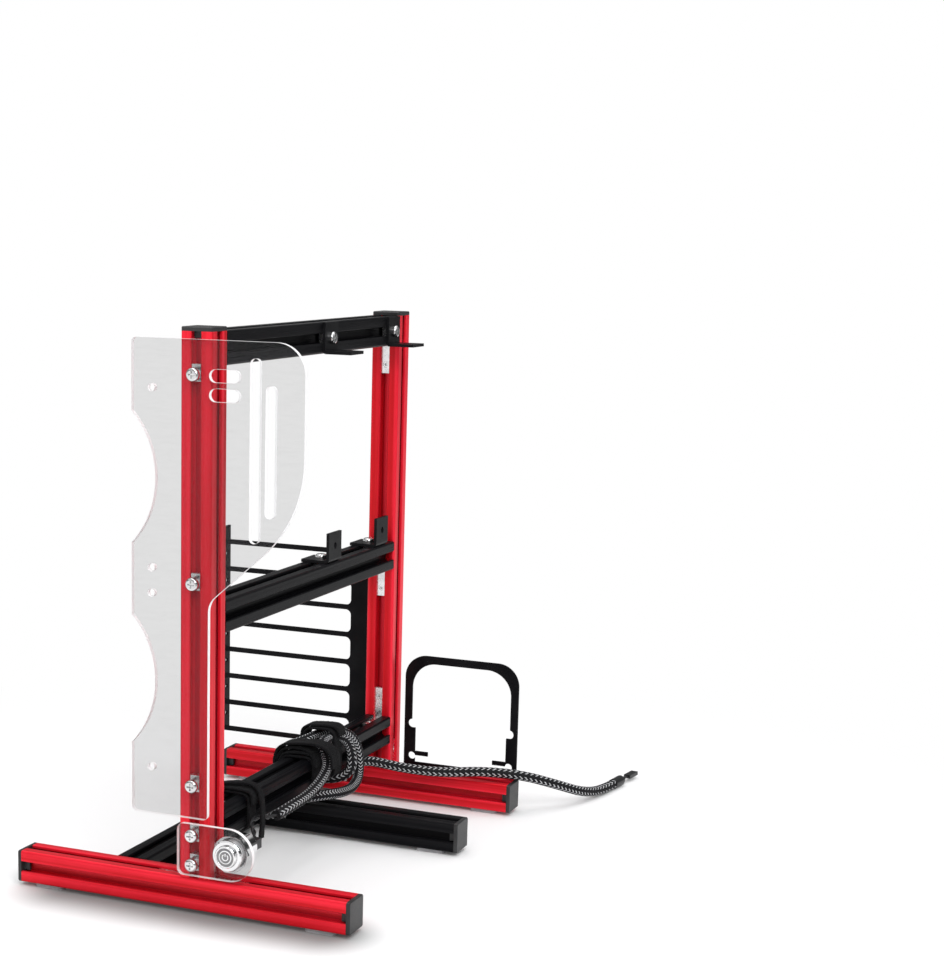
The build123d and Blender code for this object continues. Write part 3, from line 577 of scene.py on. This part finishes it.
near_fold = [
    (-0.5, -4.4, 54.0), (-0.5, -5.0, 63.0), (-0.5, -10.0, 65.6), (-0.5, -24.0, 65.8),
    (-0.5, -31.0, 64.6), (-0.5, -31.2, 57.0),
]
near_end = [
    (-0.5, -2.6, 56.0), (-0.5, -3.2, 65.0), (0.0, -9.0, 67.4), (1.5, -21.0, 69.0),
    (3.0, -30.5, 68.2), (3.5, -34.2, 61.0), (3.5, -34.8, 51.0), (3.5, -34.8, 42.0),
    (3.5, -34.0, 34.2),
]
middle_fold = [
    (-0.5, -4.2, 52.0), (-0.5, -4.4, 60.0), (-0.5, -8.0, 65.4), (-0.5, -20.0, 66.4),
    (-0.5, -28.6, 65.8), (-0.5, -30.6, 57.0),
]
middle_over = [
    (0.0, -2.4, 54.0), (0.0, -2.4, 62.0), (0.0, -6.8, 67.8), (0.0, -16.0, 69.4),
    (0.0, -24.0, 68.4), (0.0, -28.0, 66.0),
]
middle_end = [
    (-0.5, -0.6, 50.0), (-0.5, -0.6, 63.0), (-0.5, -5.0, 70.4), (0.0, -17.0, 72.4),
    (1.0, -32.0, 73.0), (2.0, -41.0, 67.0), (2.5, -41.2, 57.0),
]
# The far tie's loop goes over the two strands of the lead on the bar's top
far_loop = [
    (0.0, -28.6, 40.8), (0.0, -28.8, 52.0), (0.0, -28.9, 66.0), (0.0, -27.5, 74.6),
    (0.0, -17.5, 75.0), (0.0, -6.5, 74.0), (0.0, -5.9, 60.0), (0.0, -6.3, 40.8),
]
far_end = [
    (0.0, -4.1, 52.0), (0.0, -4.1, 66.0), (0.0, -5.0, 75.6), (1.0, -17.5, 77.0),
    (2.5, -29.0, 76.8), (3.0, -31.0, 70.0),
]
ties = (
    {
        "name": "near_tie", "x": -99.0, "width": 11.0, "seed": 3, "loop": bar_loop(63.3),
        "layers": ((near_fold, 1.0), (near_end, 4.5)),
    },
    {
        "name": "middle_tie", "x": -2.5, "width": 14.0, "seed": 5, "loop": bar_loop(63.4),
        "layers": ((middle_fold, 1.0), (middle_over, 1.5), (middle_end, 0.5)),
    },
    {
        "name": "far_tie", "x": 31.0, "width": 13.0, "seed": 7, "loop": far_loop,
        "layers": ((far_end, 1.0),),
    },
)


def softened(points, closed):
    """Corner cutting, which turns a few points into an even rounded path."""
    for _ in range(CORNER_CUTS):
        cut = []
        for k in range(len(points) if closed else len(points) - 1):
            a, b = points[k], points[(k + 1) % len(points)]
            cut += [a * 0.75 + b * 0.25, a * 0.25 + b * 0.75]
        points = cut if closed else [points[0]] + cut + [points[-1]]
    return points


def strap(bm, x, route, width, thickness, closed, rng):
    """One felt strap along a tie's points, its width along the bar, with soft rolled edges."""
    path = softened([Vector((x + along, y, z)) for along, y, z in route], closed)
    half, thin = width / 2, thickness / 2
    flat = width - 2 * thin
    top = [(-half + thin + flat * k / FLAT_STEPS, thin) for k in range(FLAT_STEPS + 1)]
    bottom = [(across, -thin) for across, _ in reversed(top)]
    outline = [(-half + 0.2 * thin, 0.0)] + top + [(half - 0.2 * thin, 0.0)] + bottom
    rings = []
    for k, spot in enumerate(path):
        after = path[(k + 1) % len(path)] if closed else path[min(k + 1, len(path) - 1)]
        before = path[k - 1] if closed else path[max(k - 1, 0)]
        ahead = after - before
        out = Vector((0.0, -ahead.z, ahead.y)).normalized()
        ring = []
        for across, lift in outline:
            fuzzed = lift + rng.uniform(-FUZZ, FUZZ)
            ring.append(bm.verts.new((spot + Vector((across, 0.0, 0.0)) + out * fuzzed) * MM))
        rings.append(ring)
    for a, b in zip(rings, rings[1:]):
        band(bm, a, b)
    if closed:
        band(bm, rings[-1], rings[0])
    else:
        bm.faces.new(rings[0])
        bm.faces.new(rings[-1])


def tie_mesh(name, tie):
    rng = random.Random(tie["seed"])
    bm = bmesh.new()
    strap(bm, tie["x"], tie["loop"], tie["width"], LOOP_THICKNESS, True, rng)
    for route, less in tie["layers"]:
        strap(bm, tie["x"], route, tie["width"] - less, LAYER_THICKNESS, False, rng)
    return mesh_of(bm, name)


for tie in ties:
    name = tie["name"]
    felt_name = name + "_felt"
    made = piece(felt_name, tie_mesh(felt_name, tie), (tie_cloth,), "frame")
    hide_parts(name)

# Push button's face, in millimetres: a bright rim, a grey field, the light ring and the power
# sign. The button's axis runs along -X, and out is the distance along it
BUTTON_Y, BUTTON_Z = -41.5, 40.8
RIM_OUT, FIELD_OUT, RING_OUT = 159.5, 159.05, 159.35
FACE_STEPS = 72
SIGN_SUNK, SIGN_RAISED = 0.05, 0.25
ARC_OUTER, ARC_INNER, ARC_STEPS = 2.1, 1.6, 40
ARC_HALF_GAP = 0.62
STROKE_HALF_WIDTH, STROKE_LOW, STROKE_HIGH = 0.25, 0.5, 2.3
# Each point is (radius, out, number of the material of the band that ends there)
face_materials = (chrome, satin, ring_light)
face_profile = [
    (6.8, 155.0, 0), (6.8, 159.1, 0), (6.45, RIM_OUT, 0), (5.7, RIM_OUT, 0),
    (5.45, FIELD_OUT, 0), (4.1, FIELD_OUT, 1), (4.0, RING_OUT, 2), (3.5, RING_OUT, 2),
    (3.35, FIELD_OUT, 1), (0.3, FIELD_OUT, 1),
]


def face_mesh(name):
    bm = bmesh.new()
    rings = []
    for radius, out, _ in face_profile:
        ring = []
        for k in range(FACE_STEPS):
            angle = 2 * math.pi * k / FACE_STEPS
            y = BUTTON_Y + radius * math.sin(angle)
            z = BUTTON_Z + radius * math.cos(angle)
            ring.append(bm.verts.new(Vector((-out, y, z)) * MM))
        rings.append(ring)
    for a, b, (_, _, number) in zip(rings, rings[1:], face_profile[1:]):
        for face in band(bm, a, b):
            face.material_index = number
    bm.faces.new(rings[0]).material_index = face_profile[0][2]
    bm.faces.new(rings[-1]).material_index = face_profile[-1][2]
    return mesh_of(bm, name)


def raised(bm, points):
    """A low closed slab on the button's field, from an outline in the face's plane."""
    back, front = (
        [bm.verts.new(Vector((-out, BUTTON_Y + a, BUTTON_Z + b)) * MM) for a, b in points]
        for out in (FIELD_OUT - SIGN_SUNK, FIELD_OUT + SIGN_RAISED)
    )
    bm.faces.new(back)
    bm.faces.new(front)
    band(bm, back, front)


def sign_mesh(name):
    """The power sign: an open ring with a short upright stroke in its gap."""
    arc = 2 * math.pi - 2 * ARC_HALF_GAP
    angles = [ARC_HALF_GAP + arc * k / ARC_STEPS for k in range(ARC_STEPS + 1)]
    outer = [(ARC_OUTER * math.sin(a), ARC_OUTER * math.cos(a)) for a in angles]
    inner = [(ARC_INNER * math.sin(a), ARC_INNER * math.cos(a)) for a in reversed(angles)]
    bm = bmesh.new()
    raised(bm, outer + inner)
    raised(bm, [
        (-STROKE_HALF_WIDTH, STROKE_LOW), (STROKE_HALF_WIDTH, STROKE_LOW),
        (STROKE_HALF_WIDTH, STROKE_HIGH), (-STROKE_HALF_WIDTH, STROKE_HIGH),
    ])
    return mesh_of(bm, name)


cap_face = piece(
    "power_button_face", face_mesh("power_button_face"), face_materials,
    "button", smooth=False,
)
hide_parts("button_cap")
piece(
    "power_button_sign", sign_mesh("power_button_sign"), (ring_light,),
    "button", smooth=False,
)

# Floor, world and lamps, in metres and watts
FLOOR_HALF = 12.0
FLOOR_COLOURS = (rgb(0.76, 0.76, 0.77), rgb(0.79, 0.79, 0.79))
FLOOR_GLOW = 0.04
# The floor fades to pure white between these distances from its middle
FADE_MIDDLE = (0.0, -0.05, 0.0)
FADE_START, FADE_END = 0.20, 0.55
# The photograph has a soft shade round the near foot, painted here into the floor's colour, which
# ends this far from the foot's line
SHADE_MIDDLE = (-0.150, -0.015, 0.0)
SHADE_HALF_LENGTH = (0.0, 0.085, 0.0)
SHADE_START, SHADE_END = 0.004, 0.046
SHADE_COLOUR = rgb(0.22, 0.22, 0.22)
# Gloss shows the far floor in front darker, down to this strength at the first y
FRONT_DARK = 0.22
FRONT_DARK_Y, FRONT_LIGHT_Y = -1.0, -0.25


def floor_paper():
    """Pale paper that keeps the shadows near the object, with a painted shade round the near foot,
    and is white further off.
    """
    paper = bpy.data.materials.new("floor_paper")
    tree, out = cleared(paper, "OutputMaterial")
    rays = put(tree, "LightPath").outputs
    # Painted shade: the paper's colour darkens towards the near foot's line
    off = vectors(tree, "SUBTRACT", place(tree), SHADE_MIDDLE).outputs[0]
    off = vectors(tree, "ABSOLUTE", off).outputs[0]
    off = vectors(tree, "SUBTRACT", off, SHADE_HALF_LENGTH).outputs[0]
    off = vectors(tree, "MAXIMUM", off).outputs[0]
    from_foot = vectors(tree, "LENGTH", off).outputs["Value"]
    outside_painted_shade = span(tree, from_foot, start=SHADE_START, end=SHADE_END, curve="SMOOTHSTEP")
    sheet = blend(tree, noise(tree, scale=900.0), *FLOOR_COLOURS)
    plain = put(tree, "BsdfDiffuse", {"Color": blend(tree, outside_painted_shade, SHADE_COLOUR, sheet)})
    glow = put(tree, "Emission", {"Color": WHITE, "Strength": FLOOR_GLOW})
    lit = put(tree, "AddShader", {0: plain.outputs[0], 1: glow.outputs[0]}).outputs[0]
    from_middle = vectors(tree, "DISTANCE", place(tree), FADE_MIDDLE).outputs["Value"]
    fade = span(tree, from_middle, start=FADE_START, end=FADE_END, curve="SMOOTHERSTEP")
    white = put(tree, "Emission", {"Color": WHITE, "Strength": 1.0}).outputs[0]
    seen = put(tree, "MixShader", {0: fade, 1: lit, 2: white}).outputs[0]
    y = put(tree, "SeparateXYZ", {"Vector": place(tree)}).outputs[1]
    dim = span(tree, y, low=FRONT_DARK, start=FRONT_DARK_Y, end=FRONT_LIGHT_Y)
    dim = put(tree, "Emission", {"Color": WHITE, "Strength": dim}).outputs[0]
    mirrored = put(tree, "MixShader", {0: fade, 1: lit, 2: dim}).outputs[0]
    shown = sums(tree, "MAXIMUM", rays["Is Camera Ray"], rays["Is Transmission Ray"])
    final = put(tree, "MixShader", {0: shown, 1: plain.outputs[0], 2: seen}).outputs[0]
    final = put(tree, "MixShader", {0: rays["Is Glossy Ray"], 1: final, 2: mirrored}).outputs[0]
    tree.links.new(final, out.inputs[0])
    return paper


floor_mesh = bpy.data.meshes.new("floor")
corners = [(-FLOOR_HALF, -FLOOR_HALF), (FLOOR_HALF, -FLOOR_HALF),
           (FLOOR_HALF, FLOOR_HALF), (-FLOOR_HALF, FLOOR_HALF)]
floor_mesh.from_pydata([(x, y, 0.0) for x, y in corners], [], [(0, 1, 2, 3)])
floor_mesh.materials.append(floor_paper())
floor = bpy.data.objects.new("floor", floor_mesh)
scene.collection.objects.link(floor)

# The studio is lightest on the left, at the back and above. A dark strip a little above the
# horizon, which only gloss shows, gives the shiny pieces contrast. The camera sees plain white
STUDIO_DARK, STUDIO_RANGE = 0.12, 0.80
STRIP_HEIGHT, STRIP_START, STRIP_END, STRIP_SHARE = 0.30, 0.13, 0.20, 0.9


def studio():
    world = bpy.data.worlds.new("studio")
    scene.world = world
    tree, out = cleared(world, "OutputWorld")
    rays = put(tree, "LightPath").outputs
    way = put(tree, "SeparateXYZ", {"Vector": put(tree, "TexCoord").outputs["Generated"]}).outputs
    left = span(tree, way[0], low=1.0, high=0.0, start=-0.9, end=0.3)
    above = span(tree, way[2], start=0.1, end=0.9)
    rear = span(tree, way[1], start=-0.2, end=0.9)
    bright = sums(tree, "MAXIMUM", sums(tree, "MAXIMUM", left, rear), above)
    light = sums(tree, "MULTIPLY_ADD", bright, STUDIO_RANGE, STUDIO_DARK)
    from_strip = sums(tree, "ABSOLUTE", sums(tree, "SUBTRACT", way[2], STRIP_HEIGHT))
    strip = span(tree, from_strip, low=1.0, high=0.0, start=STRIP_START, end=STRIP_END)
    strip = sums(tree, "MULTIPLY", strip, rays["Is Glossy Ray"])
    kept = sums(tree, "MULTIPLY_ADD", strip, -STRIP_SHARE, 1.0)
    light = sums(tree, "MULTIPLY", light, kept)
    through = sums(tree, "MAXIMUM", rays["Is Camera Ray"], rays["Is Transmission Ray"])
    sky = put(tree, "Background", {"Color": WHITE, "Strength": mix(tree, through, light, 1.0)})
    tree.links.new(sky.outputs[0], out.inputs[0])


studio()


def lamp(name, spot, aim, size, watts):
    """A square soft box that looks from one spot to another."""
    data = bpy.data.lights.new(name, "AREA")
    data.shape = "RECTANGLE"
    data.size = data.size_y = size
    data.energy = watts
    made = bpy.data.objects.new(name, data)
    scene.collection.objects.link(made)
    made.location = spot
    made.rotation_euler = (Vector(aim) - Vector(spot)).to_track_quat("-Z", "Y").to_euler()


lamp("key", spot=(-1.2, -1.0, 1.3), aim=(0, 0, 0.15), size=1.0, watts=20.0)
lamp("top", spot=(0.1, 0.1, 1.9), aim=(0, 0, 0.1), size=1.4, watts=14.0)
lamp("fill", spot=(0.9, -1.3, 0.9), aim=(0, 0, 0.15), size=0.9, watts=2.5)

scene.view_settings.view_transform = "Standard"
